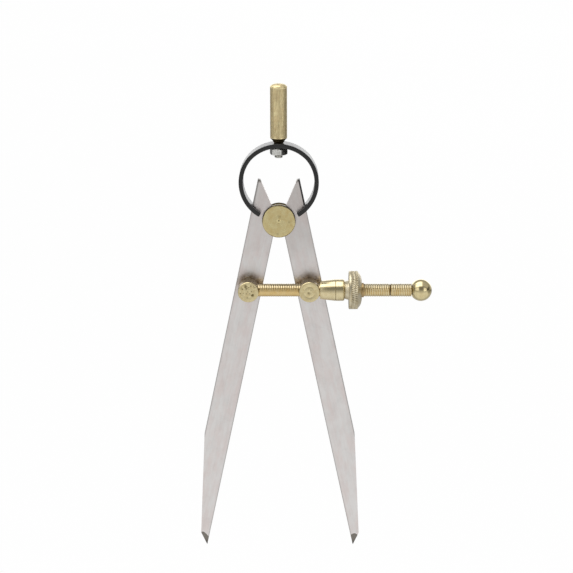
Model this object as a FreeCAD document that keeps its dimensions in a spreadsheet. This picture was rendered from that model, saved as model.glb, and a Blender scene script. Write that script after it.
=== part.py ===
import FreeCAD, Part

import math
import os
import re

import Sketcher

# Spring divider: two flat steel legs swing on a brass fulcrum spool and are pressed on it by a
# steel bow spring. A threaded spindle, fixed in the left post, passes freely through the right
# post, and the adjusting nut on it holds the legs against the spring.
# Frame: origin midway between the two points, +Z up along the grip, +X along the spindle towards
# its ball, front faces to -Y, the legs' middle plane at Y = 0. Millimetres and degrees.

SIZES = {
    # legs, measured in the frame of one leg: across from the fulcrum axis, and down along the leg
    "leg_lean": "12",
    "leg_length": "158.6",
    "leg_width": "11.8",
    "leg_thick": "3",
    "hinge_gap": "1.05",
    "ear_rise": "16.25",
    "ear_root": "1",
    "ear_tip": "1.1",
    "knee_drop": "105",
    "heel_drop": "152.8",
    "heel_width": "3.95",
    "right_grind_radius": "7",
    "right_grind_length": "6.2",
    "right_grind_across": "2.3",
    "left_grind_radius": "4",
    "left_grind_length": "7.2",
    "left_grind_across": "4.15",
    "point_thick": "0.3",
    # fulcrum spool
    "waist_radius": "3.5",
    "head_radius": "7.4",
    "head_thick": "1.6",
    "head_chamfer": "0.25",
    "turning_gap": "0.05",
    # bow spring
    "ring_rise": "17.57",
    "ring_radius": "17.65",
    "ring_flat": "0.4",
    "flat_angle": "50",
    "strip_thick": "1.9",
    "strip_wide": "9",
    "tine_angle": "30",
    "fork_angle": "41",
    "fork_gap": "3.2",
    "seat_gap": "0.12",
    "seat_ease": "0.3",
    "seat_span": "11",
    # grip, its stud and its hex nut
    "grip_radius": "3.75",
    "grip_neck": "2.5",
    "grip_cone": "1.8",
    "grip_length": "25.9",
    "grip_dome": "3",
    "stud_radius": "2",
    "stud_in_grip": "10",
    "stud_drop": "6.75",
    "stud_chamfer": "0.45",
    "stud_hole": "2.15",
    "hex_flats": "7",
    "hex_high": "2.9",
    "hex_drop": "2.4",
    "hex_turn": "15.6",
    # posts and their rear washers
    "post_drop": "32.5",
    "post_radius": "4.6",
    "post_length": "9.6",
    "post_chamfer": "0.3",
    "shank_radius": "2",
    "washer_radius": "4",
    "washer_thick": "1",
    "rivet_radius": "2.9",
    "rivet_top": "1.8",
    "rivet_high": "0.7",
    # spindle and its ball
    "spindle_out": "6.95",
    "spindle_radius": "2.9",
    "spindle_start": "2.5",
    "spindle_end": "58.8",
    "groove_at": "49",
    "groove_wide": "0.7",
    "groove_deep": "0.5",
    "spigot_radius": "2",
    "ball_centre": "63.1",
    "ball_radius": "4.85",
    "ball_bore": "5",
    # thrust sleeve, its ring and the adjusting nut, by their places along the spindle
    "bore_gap": "0.08",
    "sleeve_start": "18.25",
    "sleeve_slim": "4.05",
    "sleeve_wide": "4.82",
    "sleeve_joint": "25.15",
    "sleeve_spigot": "1.3",
    "ring_end": "29.1",
    "ring_wall": "0.9",
    "ring_cavity": "4.05",
    "lip_radius": "3.55",
    "ring_chamfer": "0.5",
    "collar_start": "26.7",
    "collar_end": "28",
    "collar_radius": "3.95",
    "collar_neck": "3.45",
    "neck_start": "29.25",
    "neck_slim": "3.9",
    "neck_wide": "4.45",
    "flange_start": "31",
    "flange_end": "34.9",
    "flange_radius": "8.52",
    "flange_chamfer": "0.3",
    "crown_end": "36.75",
    "crown_radius": "4.5",
    "crown_bulge": "7",
    "hub_end": "37.73",
    "hub_radius": "3.4",
    # how far cutting tools reach, longer than anything that they cut through
    "tool_length": "40",
    "fork_reach": "24",
    "fork_depth": "34",
}
LEAST_BORED = 50  # mm3 that a post's cross hole has to take away

# Heights and places that follow from the sizes
FULCRUM_Z = "(leg_length * cos(leg_lean) - hinge_gap * sin(leg_lean))"
RING_Z = f"({FULCRUM_Z} + ring_rise)"
RING_TOP = f"({RING_Z} + ring_radius - ring_flat)"
MID_LEG = "(hinge_gap + leg_width / 2)"
POST_X = f"({MID_LEG} * cos(leg_lean) + post_drop * sin(leg_lean))"
POST_Z = f"({FULCRUM_Z} + {MID_LEG} * sin(leg_lean) - post_drop * cos(leg_lean))"
SPINDLE_Y = "(0 - spindle_out)"
BORE = "(spindle_radius + bore_gap)"
RIGHT, LEFT = 1, -1

doc = FreeCAD.newDocument("spring_divider")
sheet = doc.addObject("Spreadsheet::Sheet", "Sizes")
for row, (alias, number) in enumerate(SIZES.items(), start=1):
    sheet.set(f"A{row}", alias.replace("_", " "))
    sheet.set(f"B{row}", number)
    sheet.setAlias(f"B{row}", alias)
doc.recompute()


def linked(expression):
    """The expression with each size written as its cell in the sheet."""
    word = re.compile(r"[a-z]+(?:_[a-z]+)*")
    return word.sub(lambda m: "Sizes." + m[0] if m[0] in SIZES else m[0], str(expression))


def worth(expression):
    """What an expression in the sheet's sizes comes to now."""
    return float(sheet.evalExpression(linked(expression)))


def bind(thing, **bindings):
    """Binds properties to expressions; a double underscore in a name stands for a dot."""
    for path, expression in bindings.items():
        thing.setExpression(path.replace("__", "."), linked(expression))


def attach(body, sketch, plane):
    origin = next(f for f in body.Origin.OriginFeatures if f.Role == plane)
    sketch.AttachmentSupport = (origin, [""])
    sketch.MapMode = "FlatFace"


def pin(sketch, edge, end, axis, expression):
    """Holds an edge's end at a place along one sketch axis."""
    if abs(worth(expression)) < 1e-9:
        upright = -2 if axis == "X" else -1
        sketch.addConstraint(Sketcher.Constraint("PointOnObject", edge, end, upright))
        return
    kind = "Distance" + axis
    number = sketch.addConstraint(
        Sketcher.Constraint(kind, -1, 1, edge, end, worth(expression)))
    sketch.setExpression(f"Constraints[{number}]", linked(expression))


def arc_middle(start, end, radius):
    """A point on the short arc between two points; its centre is on the left if radius > 0."""
    along = end - start
    left = FreeCAD.Vector(-along.y, along.x, 0).normalize() * math.copysign(1, radius)
    reach = math.sqrt(radius ** 2 - (along.Length / 2) ** 2)
    return (start + end) * 0.5 + left * (reach - abs(radius))


def outline(body, name, plane, corners):
    """A closed sketch. Each corner is (across, up), and a third entry makes the edge that leaves
    it an arc of that radius, negative where the outline is hollow."""
    sketch = body.newObject("Sketcher::SketchObject", name)
    attach(body, sketch, plane)
    places = [FreeCAD.Vector(worth(c[0]), worth(c[1]), 0) for c in corners]
    ends = []
    for i, corner in enumerate(corners):
        start, end = places[i], places[(i + 1) % len(places)]
        if len(corner) == 2:
            sketch.addGeometry(Part.LineSegment(start, end))
            ends.append((1, 2))
            continue
        radius = worth(corner[2])
        middle = arc_middle(start, end, radius)
        if radius > 0:
            sketch.addGeometry(Part.Arc(start, middle, end))
            ends.append((1, 2))
        else:
            sketch.addGeometry(Part.Arc(end, middle, start))
            ends.append((2, 1))
        number = sketch.addConstraint(Sketcher.Constraint("Radius", i, abs(radius)))
        sketch.setExpression(f"Constraints[{number}]", linked(f"abs({corner[2]})"))
    for i, corner in enumerate(corners):
        following = (i + 1) % len(corners)
        sketch.addConstraint(
            Sketcher.Constraint("Coincident", i, ends[i][1], following, ends[following][0]))
        pin(sketch, i, ends[i][0], "X", corner[0])
        pin(sketch, i, ends[i][0], "Y", corner[1])
    return sketch


def circle(body, name, plane, across, up, radius):
    """A sketch of one circle."""
    sketch = body.newObject("Sketcher::SketchObject", name)
    attach(body, sketch, plane)
    centre = FreeCAD.Vector(worth(across), worth(up), 0)
    sketch.addGeometry(Part.Circle(centre, FreeCAD.Vector(0, 0, 1), worth(radius)))
    pin(sketch, 0, 3, "X", across)
    pin(sketch, 0, 3, "Y", up)
    number = sketch.addConstraint(Sketcher.Constraint("Radius", 0, worth(radius)))
    sketch.setExpression(f"Constraints[{number}]", linked(radius))
    return sketch


def new_body(label, **place):
    body = doc.addObject("PartDesign::Body", label)
    bind(body, **{f"Placement__Base__{axis}": where for axis, where in place.items()})
    return body


def extrude(body, kind, sketch, length=None, side="Symmetric"):
    """A Pad or Pocket; with no length it goes through all."""
    feature = body.newObject(f"PartDesign::{kind}", f"{sketch.Name}_{kind}")
    feature.Profile = (sketch, [""])
    feature.SideType = side
    if length is None:
        feature.Type = "ThroughAll"
    else:
        bind(feature, Length=length)
    doc.recompute()
    return feature


def turn(body, plane, axis, corners):
    """A turned piece: the outline is revolved about a sketch axis."""
    sketch = outline(body, f"{body.Name}_profile", plane, corners)
    feature = body.newObject("PartDesign::Revolution", f"{body.Name}_turned")
    feature.Profile = (sketch, [""])
    feature.ReferenceAxis = (sketch, [axis])
    feature.Angle = 360
    doc.recompute()
    return feature


def primitive(kind, name, **bindings):
    thing = doc.addObject(f"Part::{kind}", name)
    bind(thing, **bindings)
    return thing


def cut(label, base, tool):
    result = doc.addObject("Part::Cut", label)
    result.Base = base
    result.Tool = tool
    doc.recompute()
    return result


def spring_seat(body, side):
    """The slanted notch in the leg's outer edge that the fork of the bow spring sits in."""
    near = "(ring_radius - strip_thick - seat_gap)"
    far = "(ring_radius + seat_gap)"
    floor = "(fork_angle - seat_ease - leg_lean)"
    mouth = f"({floor} + seat_span)"
    ways = ((near, floor), (far, floor), (far, mouth), (near, mouth))
    corners = [
        (f"{side} * (ring_rise * sin(leg_lean) + {radius} * sin({angle}))",
         f"ring_rise * cos(leg_lean) - {radius} * cos({angle})")
        for radius, angle in ways
    ]
    extrude(body, "Pocket", outline(body, f"{body.Name}_seat", "XZ_Plane", corners))


def grinding(name, side, face):
    """The round wheel that hollows one face of the leg down to its point. The two legs were
    ground by hand, so each has its own wheel and its own slant."""
    hand = "right" if side == RIGHT else "left"
    radius = f"{hand}_grind_radius"
    slope = f"atan((leg_thick - point_thick) / 2 / {hand}_grind_length)"
    sweep = f"atan({hand}_grind_across / {hand}_grind_length)"
    wheel = primitive("Cylinder", name, Radius=radius, Height="tool_length")
    lean = FreeCAD.Rotation(FreeCAD.Vector(1, 0, 0), -face * worth(slope))
    swing = FreeCAD.Rotation(FreeCAD.Vector(0, 1, 0), side * worth(sweep))
    turned = swing * lean
    start = FreeCAD.Vector(side * worth("hinge_gap"), face * worth("point_thick / 2"),
                           -worth("leg_length"))
    offset = FreeCAD.Vector(0, face * worth(radius), -worth("tool_length / 2"))
    wheel.Placement = FreeCAD.Placement(start + turned.multVec(offset), turned)
    return wheel


def leg(label, side):
    """A flat leg, drawn upright with the fulcrum axis at its own origin, then leant outwards."""
    blank = new_body(f"{label}_blank")
    corners = [
        (f"{side} * hinge_gap", "0 - leg_length"),
        (f"{side} * (hinge_gap + heel_width)", "0 - heel_drop"),
        (f"{side} * (hinge_gap + leg_width)", "0 - knee_drop"),
        (f"{side} * (hinge_gap + leg_width)", "ear_rise"),
        (f"{side} * (hinge_gap + leg_width - ear_tip)", "ear_rise"),
        (f"{side} * hinge_gap", "ear_root"),
    ]
    extrude(blank, "Pad", outline(blank, f"{label}_plan", "XZ_Plane", corners), "leg_thick")
    waist = "waist_radius + turning_gap"
    notch = circle(blank, f"{label}_notch", "XZ_Plane", 0, 0, waist)
    extrude(blank, "Pocket", notch)
    shank = circle(blank, f"{label}_hole", "XZ_Plane", f"{side} * {MID_LEG}", "0 - post_drop",
                   "shank_radius + turning_gap")
    extrude(blank, "Pocket", shank)
    spring_seat(blank, side)
    wheels = doc.addObject("Part::MultiFuse", f"{label}_wheels")
    wheels.Shapes = [grinding(f"{label}_front_wheel", side, -1),
                     grinding(f"{label}_back_wheel", side, 1)]
    ground = cut(label, blank, wheels)
    ground.Placement = FreeCAD.Placement(
        FreeCAD.Vector(), FreeCAD.Rotation(FreeCAD.Vector(0, -side, 0), worth("leg_lean")))
    bind(ground, Placement__Base__z=FULCRUM_Z, Placement__Rotation__Angle="leg_lean")
    return ground


def fulcrum_spool():
    """Two round heads and the waist that the legs swing on, turned in one piece about Y."""
    body = new_body("fulcrum_spool", z=FULCRUM_Z)
    inner = "(leg_thick / 2 + turning_gap)"
    outer = f"({inner} + head_thick)"
    front = [(0, f"0 - {outer}"), ("head_radius - head_chamfer", f"0 - {outer}"),
             ("head_radius", f"head_chamfer - {outer}"), ("head_radius", f"0 - {inner}"),
             ("waist_radius", f"0 - {inner}")]
    back = [("waist_radius", inner), ("head_radius", inner),
            ("head_radius", f"{outer} - head_chamfer"),
            ("head_radius - head_chamfer", outer), (0, outer)]
    turn(body, "XY_Plane", "V_Axis", front + back)
    return body


def bow_spring():
    """An open ring of flat strip, a little flat on top where the grip's nut draws it up, and
    forked at both ends to straddle the legs."""
    body = new_body("bow_spring", z=RING_Z)

    def side(radius, turning):
        """One edge of the strip from its right tip over the top to its left tip, as corners."""
        rise = f"({radius} * (1 - cos(flat_angle)) - ring_flat)"
        flatter = f"((({radius} * sin(flat_angle)) ^ 2 + {rise} ^ 2) / (2 * {rise}))"
        tip = (f"{radius} * sin(tine_angle)", f"0 - {radius} * cos(tine_angle)")
        shoulder = (f"{radius} * sin(flat_angle)", f"{radius} * cos(flat_angle)")
        arcs = [f"{turning} * {radius}", f"{turning} * {flatter}"]
        return [(*tip, arcs[0]), (*shoulder, arcs[1]), (0, f"{radius} - ring_flat", arcs[1]),
                (f"0 - {shoulder[0]}", shoulder[1], arcs[0]), (f"0 - {tip[0]}", tip[1])]

    outer = side("ring_radius", 1)
    inner = side("(ring_radius - strip_thick)", -1)
    backwards = [(f"0 - ({across})", up, *arc) for across, up, *arc in inner]
    corners = outer + backwards
    extrude(body, "Pad", outline(body, "bow_ring", "XZ_Plane", corners), "strip_wide")
    wedge = [
        (0, 0),
        ("0 - fork_reach * sin(fork_angle)", "0 - fork_reach * cos(fork_angle)"),
        (0, "0 - fork_depth"),
        ("fork_reach * sin(fork_angle)", "0 - fork_reach * cos(fork_angle)"),
    ]
    extrude(body, "Pocket", outline(body, "bow_fork", "XZ_Plane", wedge), "fork_gap")
    hole = circle(body, "bow_hole", "XY_Plane", 0, 0, "stud_hole")
    extrude(body, "Pocket", hole, side="One side").Reversed = True
    doc.recompute()
    return body


def grip():
    """The round grip, with a blind hole below for its stud and a rounded top."""
    body = new_body("grip", z=RING_TOP)
    turn(body, "XZ_Plane", "V_Axis", [
        ("stud_radius", 0),
        ("grip_neck", 0),
        ("grip_radius", "grip_cone"),
        ("grip_radius", "grip_length - grip_dome", "grip_dome"),
        ("grip_radius - grip_dome", "grip_length"),
        (0, "grip_length"),
        (0, "stud_in_grip"),
        ("stud_radius", "stud_in_grip"),
    ])
    return body


def grip_stud():
    """The threaded stud that joins the grip to the bow spring."""
    body = new_body("grip_stud", z=RING_TOP)
    turn(body, "XZ_Plane", "V_Axis", [
        (0, "0 - stud_drop"),
        ("stud_radius - stud_chamfer", "0 - stud_drop"),
        ("stud_radius", "stud_chamfer - stud_drop"),
        ("stud_radius", "stud_in_grip"),
        (0, "stud_in_grip"),
    ])
    return body


def grip_nut():
    """The hex nut under the top of the ring."""
    bottom = f"{RING_TOP} - hex_drop - hex_high"
    prism = primitive("Prism", "hex_blank", Circumradius="hex_flats / sqrt(3)",
                      Height="hex_high", Placement__Base__z=bottom)
    prism.Polygon = 6
    turn_by = "hex_turn + 30"
    prism.Placement.Rotation = FreeCAD.Rotation(FreeCAD.Vector(0, 0, 1), worth(turn_by))
    bind(prism, Placement__Rotation__Angle=turn_by)
    bore = primitive("Cylinder", "hex_bore", Radius="stud_radius", Height="tool_length",
                     Placement__Base__z=f"{bottom} - tool_length / 2")
    return cut("grip_nut", prism, bore)


def post(label, side, blind):
    """A round post across a leg's front, with a shank through the leg and a peened rear end."""
    body = new_body(label, x=f"{side} * {POST_X}", z=POST_Z)
    seat = "(leg_thick / 2 + turning_gap)"
    face = f"({seat} + post_length)"
    rear = f"({seat} + washer_thick)"
    turn(body, "XY_Plane", "V_Axis", [
        (0, f"0 - {face}"),
        ("post_radius - post_chamfer", f"0 - {face}"),
        ("post_radius", f"post_chamfer - {face}"),
        ("post_radius", f"0 - {seat}"),
        ("shank_radius", f"0 - {seat}"),
        ("shank_radius", rear),
        ("rivet_radius", rear),
        ("rivet_top", f"{rear} + rivet_high"),
        (0, f"{rear} + rivet_high"),
    ])
    before = body.Shape.Volume
    radius = "spindle_radius" if blind else BORE
    hole = circle(body, f"{label}_cross", "YZ_Plane", SPINDLE_Y, 0, radius)
    if blind:
        bind(hole, AttachmentOffset__Base__z="0 - spindle_start")
        extrude(body, "Pocket", hole, side="One side").Reversed = True
        doc.recompute()
    else:
        extrude(body, "Pocket", hole)
    if body.Shape.Volume > before - LEAST_BORED:
        raise RuntimeError(f"{label}: its cross hole cuts nothing")
    return body


def post_washer(label, side):
    body = new_body(label, x=f"{side} * {POST_X}", z=POST_Z)
    seat = "(leg_thick / 2 + turning_gap)"
    rear = f"({seat} + washer_thick)"
    turn(body, "XY_Plane", "V_Axis", [
        ("shank_radius", seat), ("washer_radius", seat),
        ("washer_radius", rear), ("shank_radius", rear),
    ])
    return body


def turned_on_spindle(label, corners):
    """A piece turned about the spindle's axis; corners are (place along X, radius)."""
    body = new_body(label, y=SPINDLE_Y, z=POST_Z)
    turn(body, "XZ_Plane", "H_Axis", corners)
    return body


def spindle():
    start = f"(0 - {POST_X} - spindle_start)"
    floor = "(spindle_radius - groove_deep)"
    return turned_on_spindle("spindle", [
        (start, 0),
        ("spindle_end + ball_bore", 0),
        ("spindle_end + ball_bore", "spigot_radius"),
        ("spindle_end", "spigot_radius"),
        ("spindle_end", "spindle_radius"),
        ("groove_at + groove_wide", "spindle_radius"),
        ("groove_at + groove_wide", floor),
        ("groove_at", floor),
        ("groove_at", "spindle_radius"),
        (start, "spindle_radius"),
    ])


def end_ball():
    sphere = primitive("Sphere", "ball_blank", Radius="ball_radius",
                       Placement__Base__x="ball_centre", Placement__Base__y=SPINDLE_Y,
                       Placement__Base__z=POST_Z)
    bore = primitive("Cylinder", "ball_bore", Radius="spigot_radius", Height="2 * ball_bore")
    bore.Placement.Rotation = FreeCAD.Rotation(FreeCAD.Vector(0, 1, 0), 90)
    bind(bore, Placement__Base__x="spindle_end - ball_bore", Placement__Base__y=SPINDLE_Y,
         Placement__Base__z=POST_Z)
    neck = primitive("Cylinder", "ball_seat", Radius="spindle_radius", Height="ball_bore")
    neck.Placement.Rotation = FreeCAD.Rotation(FreeCAD.Vector(0, 1, 0), 90)
    bind(neck, Placement__Base__x="spindle_end - ball_bore", Placement__Base__y=SPINDLE_Y,
         Placement__Base__z=POST_Z)
    drills = doc.addObject("Part::MultiFuse", "ball_drills")
    drills.Shapes = [bore, neck]
    return cut("end_ball", sphere, drills)


def nut_sleeve():
    """The tapered sleeve that bears on the right post."""
    spigot_end = "(sleeve_joint + sleeve_spigot)"
    return turned_on_spindle("nut_sleeve", [
        ("sleeve_start", BORE),
        (spigot_end, BORE),
        (spigot_end, "ring_cavity"),
        ("sleeve_joint", "ring_cavity"),
        ("sleeve_joint", "sleeve_wide"),
        ("sleeve_start", "sleeve_slim"),
    ])


def sleeve_ring():
    """The ring pressed on the sleeve, whose lip holds the nut's collar."""
    wall = "(ring_end - ring_wall)"
    return turned_on_spindle("sleeve_ring", [
        ("sleeve_joint", "ring_cavity"),
        (wall, "ring_cavity"),
        (wall, "lip_radius"),
        ("ring_end", "lip_radius"),
        ("ring_end", "sleeve_wide - ring_chamfer"),
        ("ring_end - ring_chamfer", "sleeve_wide"),
        ("sleeve_joint", "sleeve_wide"),
    ])


def adjusting_nut():
    """The round nut: a collar inside the ring, a neck, the finger flange and a small hub."""
    return turned_on_spindle("adjusting_nut", [
        ("collar_start", BORE),
        ("hub_end", BORE),
        ("hub_end", "hub_radius"),
        ("crown_end", "hub_radius"),
        ("crown_end", "crown_radius", "crown_bulge"),
        ("flange_end", "flange_radius - flange_chamfer"),
        ("flange_end - flange_chamfer", "flange_radius"),
        ("flange_start + flange_chamfer", "flange_radius"),
        ("flange_start", "flange_radius - flange_chamfer"),
        ("flange_start", "neck_wide"),
        ("neck_start", "neck_slim"),
        ("neck_start", "collar_neck"),
        ("collar_end", "collar_neck"),
        ("collar_end", "collar_radius"),
        ("collar_start", "collar_radius"),
    ])


pieces = [
    leg("right_leg", RIGHT),
    leg("left_leg", LEFT),
    fulcrum_spool(),
    bow_spring(),
    grip(),
    grip_stud(),
    grip_nut(),
    post("right_post", RIGHT, blind=False),
    post("left_post", LEFT, blind=True),
    post_washer("right_post_washer", RIGHT),
    post_washer("left_post_washer", LEFT),
    spindle(),
    end_ball(),
    nut_sleeve(),
    sleeve_ring(),
    adjusting_nut(),
]
doc.recompute()

for thing in doc.Objects:
    if {"Invalid", "Error"} & set(thing.State):
        raise RuntimeError(f"{thing.Label} did not recompute: {thing.State}")
for piece in pieces:
    if piece.Shape.isNull() or not piece.Shape.isValid() or len(piece.Shape.Solids) != 1:
        raise RuntimeError(f"{piece.Label} is not one valid solid")

os.makedirs("parts", exist_ok=True)
for piece in pieces:
    piece.Shape.exportStep(os.path.join("parts", piece.Label + ".step"))
    box = piece.Shape.BoundBox
    print(f"{piece.Label:18} {piece.Shape.Volume:9.1f} mm3  X {box.XMin:7.2f} {box.XMax:7.2f}"
          f"  Y {box.YMin:7.2f} {box.YMax:7.2f}  Z {box.ZMin:7.2f} {box.ZMax:7.2f}")
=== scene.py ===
import math
import random

import bmesh
import bpy
from mathutils import Matrix, Vector


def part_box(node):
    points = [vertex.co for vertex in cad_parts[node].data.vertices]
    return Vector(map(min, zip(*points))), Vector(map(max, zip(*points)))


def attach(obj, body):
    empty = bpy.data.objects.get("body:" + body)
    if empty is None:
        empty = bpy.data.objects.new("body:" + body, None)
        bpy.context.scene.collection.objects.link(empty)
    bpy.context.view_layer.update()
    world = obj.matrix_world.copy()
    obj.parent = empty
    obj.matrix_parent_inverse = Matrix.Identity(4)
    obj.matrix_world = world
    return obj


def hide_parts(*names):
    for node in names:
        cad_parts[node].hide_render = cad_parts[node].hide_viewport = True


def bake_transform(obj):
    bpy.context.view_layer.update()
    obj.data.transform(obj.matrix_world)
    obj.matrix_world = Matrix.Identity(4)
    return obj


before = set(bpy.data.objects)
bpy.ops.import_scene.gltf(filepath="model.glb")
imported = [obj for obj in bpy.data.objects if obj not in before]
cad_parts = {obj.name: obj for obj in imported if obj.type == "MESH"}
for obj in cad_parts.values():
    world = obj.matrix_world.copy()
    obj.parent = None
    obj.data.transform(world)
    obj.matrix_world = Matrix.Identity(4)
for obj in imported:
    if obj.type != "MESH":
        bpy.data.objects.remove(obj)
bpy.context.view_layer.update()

# Lengths below are in millimetres and angles in degrees, unless a name says otherwise
MM = 0.001
TAU = math.tau
# Each axis with the directions of 0 and 90 degrees round it
AXES = {
    "X": (Vector((1, 0, 0)), Vector((0, 1, 0)), Vector((0, 0, 1))),
    "Y": (Vector((0, 1, 0)), Vector((0, 0, 1)), Vector((1, 0, 0))),
    "Z": (Vector((0, 0, 1)), Vector((1, 0, 0)), Vector((0, 1, 0))),
}

# Sizes of the part that the boxes of its nodes don't give
LEG_LEAN = 12
LEG_NEAR = 1.05  # the leg's inner and outer edges, across the leg from the fulcrum's axis
LEG_FAR = 12.85
EAR_RISE = 16.25  # the ear's tip above the fulcrum and the post below it, along the leg
POST_DROP = 32.5
GRIND_TOP = 8.2  # the ground hollows lie below this height
LEG_THICK = 3
TURNING_GAP = 0.05
WAIST_RADIUS = 3.5
STRIP_THICK = 1.9
RING_FLAT = 0.4  # how far the bow's top lies below a full circle, over this angle on each side
FLAT_ANGLE = 50
TINE_ANGLE = 30
FORK_ANGLE = 41
FORK_GAP = 3.2
GRIP_NECK = 2.5
GRIP_CONE = 1.8
HEX_FLATS = 7
HEX_TURN = 15.6
STUD_PITCH = 0.7
POST_LENGTH = 9.6  # in front of the leg
SHANK_RADIUS = 2
PEEN_RADIUS = 2.9
SPINDLE_RADIUS = 2.9
SPIGOT_RADIUS = 2
SPINDLE_PITCH = 1
BORE_GAP = 0.08  # round the spindle where it slides, and where it is fixed
PRESS_GAP = 0.05
GROOVE_AT = 49
GROOVE_WIDE = 0.7
GROOVE_DEEP = 0.5
BALL_AT = 58.8
SLEEVE_SMALL = 4.05  # the radius of the sleeve's two ends
SLEEVE_LARGE = 4.8
RING_CAVITY = 4.05
LIP_RADIUS = 3.55

# Angles between two faces
SHARP_TURN = 30  # an edge that turns by more is shaded as a corner
ROUNDED_TURN = 35  # an edge that turns by more is rounded

# The camera and the light
AIM = Vector((3.3, 0, 124.4))
DISTANCE = 748
AZIMUTH = 0.5
ELEVATION = 14.5
ROLL = -0.12
FOCAL_LENGTH = 104.7
SENSOR_WIDTH = 36
STUDIO_STRENGTH = 2.0


def corners(node):
    """A node's lowest and highest corners in millimetres."""
    low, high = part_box(node)
    return low / MM, high / MM


def middle(node):
    """The centre of a node's box in millimetres."""
    low, high = corners(node)
    return (low + high) / 2


def centre_line(node):
    """Where a node's front-to-back axis crosses the legs' middle plane."""
    centre = middle(node)
    return Vector((centre.x, 0, centre.z))


SPINDLE_LOW, SPINDLE_HIGH = corners("spindle")
SPINDLE_AXIS = Vector((0, middle("spindle").y, middle("spindle").z))
FULCRUM = middle("fulcrum_spool")
BOW_LOW, BOW_HIGH = corners("bow_spring")
RING_RADIUS = BOW_HIGH.x
RING_CENTRE = Vector((0, 0, BOW_HIGH.z + RING_FLAT - RING_RADIUS))


# ---------------------------------------------------------------- meshes

def rounded(outline, steps=3):
    """The outline with an arc at each corner that has a third number, the arc's radius. The
    first and last points have none."""
    points = []
    for i, corner in enumerate(outline):
        here = Vector(corner[:2])
        if len(corner) == 2:
            points.append(tuple(here))
            continue
        before = (Vector(outline[i - 1][:2]) - here).normalized()
        after = (Vector(outline[i + 1][:2]) - here).normalized()
        half = before.angle(after) / 2
        start = before * (corner[2] / math.tan(half))
        end = after * (corner[2] / math.tan(half))
        centre = (before + after).normalized() * (corner[2] / math.sin(half))
        for step in range(steps + 1):
            spoke = (start - centre).normalized().slerp((end - centre).normalized(), step / steps)
            points.append(tuple(here + centre + spoke * corner[2]))
    return points


def turned(outline, columns, axis="Z", centre=(0, 0, 0), relief=None, closed=False):
    """A mesh turned about an axis. Outline points are (place along the axis, radius), and
    relief(along, angle) is how deep the surface is cut below its radius there."""
    along_axis, across, up = AXES[axis]
    bm = bmesh.new()
    rings = []
    for along, radius in outline:
        ring = []
        for k in range(columns if radius > 1e-6 else 1):
            angle = TAU * k / columns
            reach = radius - (relief(along, angle) if relief else 0)
            spoke = (across * math.cos(angle) + up * math.sin(angle)) * reach
            ring.append(bm.verts.new(Vector(centre) + along_axis * along + spoke))
        rings.append(ring)
    for i, ring in enumerate(rings if closed else rings[:-1]):
        following = rings[(i + 1) % len(rings)]
        for k in range(columns):
            face = [ring[k % len(ring)], ring[(k + 1) % len(ring)],
                    following[(k + 1) % len(following)], following[k % len(following)]]
            face = list(dict.fromkeys(face))
            if len(face) > 2:
                bm.faces.new(face)
    return bm


def stepped(start, end, step):
    """Places from start to end, evenly spaced about a step apart."""
    count = max(1, round(abs(end - start) / step))
    return [start + (end - start) * i / count for i in range(count + 1)]


def groove(turns):
    """A V-shaped cut once a turn: 0 at its crests and 1 at its root."""
    return 1 - abs(2 * (turns % 1) - 1)


def new_object(name, bm, materials, sharp=40):
    """An object made from a mesh in millimetres, shaded smooth with sharp corners."""
    bmesh.ops.transform(bm, matrix=Matrix.Scale(MM, 4), verts=bm.verts)
    bmesh.ops.recalc_face_normals(bm, faces=bm.faces)
    mesh = bpy.data.meshes.new(name)
    bm.to_mesh(mesh)
    bm.free()
    for material in materials:
        mesh.materials.append(material)
    obj = bpy.data.objects.new(name, mesh)
    bpy.context.scene.collection.objects.link(obj)
    mesh.shade_smooth()
    mesh.set_sharp_from_angle(angle=math.radians(sharp))
    return obj


def baked(obj):
    """Applies the object's modifiers."""
    bpy.context.view_layer.update()
    seen = obj.evaluated_get(bpy.context.evaluated_depsgraph_get())
    mesh = bpy.data.meshes.new_from_object(seen)
    obj.modifiers.clear()
    obj.data = mesh
    return obj


def even_shading(obj):
    """Keeps flat faces flat beside their rounded edges."""
    weighted = obj.modifiers.new("shading", "WEIGHTED_NORMAL")
    weighted.keep_sharp = True
    weighted.weight = 100
    return baked(obj)


def placed(obj, body, slot, *nodes):
    """The object stands for these nodes and rides on their body."""
    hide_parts(*nodes)
    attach(obj, body)


def cut_from(obj, bm):
    """Cuts a solid, made in millimetres, out of an object."""
    cutter = new_object("cutter", bm, [])
    boolean = obj.modifiers.new("cut", "BOOLEAN")
    boolean.operation = "DIFFERENCE"
    boolean.solver = "EXACT"
    boolean.object = cutter
    baked(obj)
    bpy.data.objects.remove(cutter)


def refined(node, width, choose):
    """A copy of a node's mesh in millimetres, with its sharp edges rounded to a width where
    choose(edge) allows."""
    bm = bmesh.new()
    bm.from_mesh(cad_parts[node].data)
    bmesh.ops.transform(bm, matrix=Matrix.Scale(1 / MM, 4), verts=bm.verts)
    bmesh.ops.remove_doubles(bm, verts=bm.verts, dist=0.0005)
    bmesh.ops.dissolve_limit(bm, angle_limit=math.radians(0.5), verts=bm.verts, edges=bm.edges)
    edges = [e for e in bm.edges
             if len(e.link_faces) == 2 and e.calc_face_angle() > math.radians(ROUNDED_TURN)
             and choose(e)]
    bmesh.ops.bevel(bm, geom=edges, offset=width, offset_type="OFFSET", segments=2,
                    profile=0.5, affect="EDGES", clamp_overlap=True)
    bmesh.ops.triangulate(bm, faces=[f for f in bm.faces if len(f.verts) > 4])
    for face in bm.faces:
        face.material_index = 0
    return bm


# ---------------------------------------------------------------- materials

def tint(red, green, blue):
    """A colour as shown on a screen, 0 to 255, in the linear numbers that shaders take."""
    linear = [((c / 255 + 0.055) / 1.055) ** 2.4 for c in (red, green, blue)]
    return (*linear, 1)


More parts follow.
